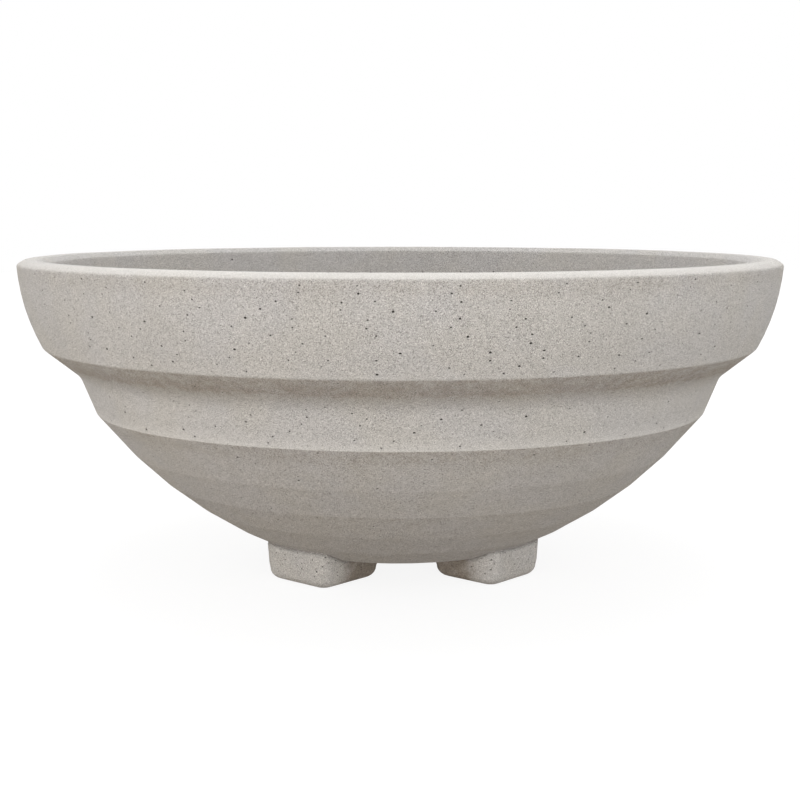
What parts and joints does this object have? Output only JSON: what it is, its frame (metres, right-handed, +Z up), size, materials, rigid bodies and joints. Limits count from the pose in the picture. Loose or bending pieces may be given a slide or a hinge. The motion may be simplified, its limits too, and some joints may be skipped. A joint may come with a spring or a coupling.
{
  "type": "bowl planter",
  "caption": "Wide round concrete bowl planter with a stepped rim band, a faceted lower bowl, square cast feet, a drain sleeve and a pull-out rubber drain plug.",
  "frame": {"origin": "on the floor under the middle of the bowl", "axes": "+Z up along the axis of the bowl, -Y towards the viewer of the picture, +X to the viewer's right"},
  "size_m": [0.9138, 0.9138, 0.3773],
  "materials": {
    "concrete": "cast, sandy, with small air holes",
    "mortar": "raked bedding mortar",
    "stainless": "drawn stainless rod",
    "bar_steel": "hot rolled, lightly rusted",
    "pipe_plastic": "grey drain pipe",
    "rubber": "moulded black rubber"
  },
  "bodies": {
    "planter": {"bowl_shell": "concrete", "front_left_foot": "concrete", "front_right_foot": "concrete", "rear_right_foot": "concrete", "rear_left_foot": "concrete", "front_left_bed": "mortar", "front_right_bed": "mortar", "rear_right_bed": "mortar", "rear_left_bed": "mortar", "foot_dowels": "stainless", "drain_sleeve": "pipe_plastic", "rim_hoop": "bar_steel", "step_hoop": "bar_steel", "waist_hoop": "bar_steel", "belly_hoop": "bar_steel", "base_hoop": "bar_steel", "rib_bar_1": "bar_steel", "rib_bar_2": "bar_steel", "rib_bar_3": "bar_steel", "rib_bar_4": "bar_steel", "rib_bar_5": "bar_steel", "rib_bar_6": "bar_steel", "rib_bar_7": "bar_steel", "rib_bar_8": "bar_steel"},
    "stopper": {"drain_plug": "rubber"}
  },
  "joints": [
    {"name": "plug_lift", "type": "slide", "parent": "planter", "child": "stopper", "axis": [0, 0, 1], "range_m": [0, 0.36]}
  ]
}
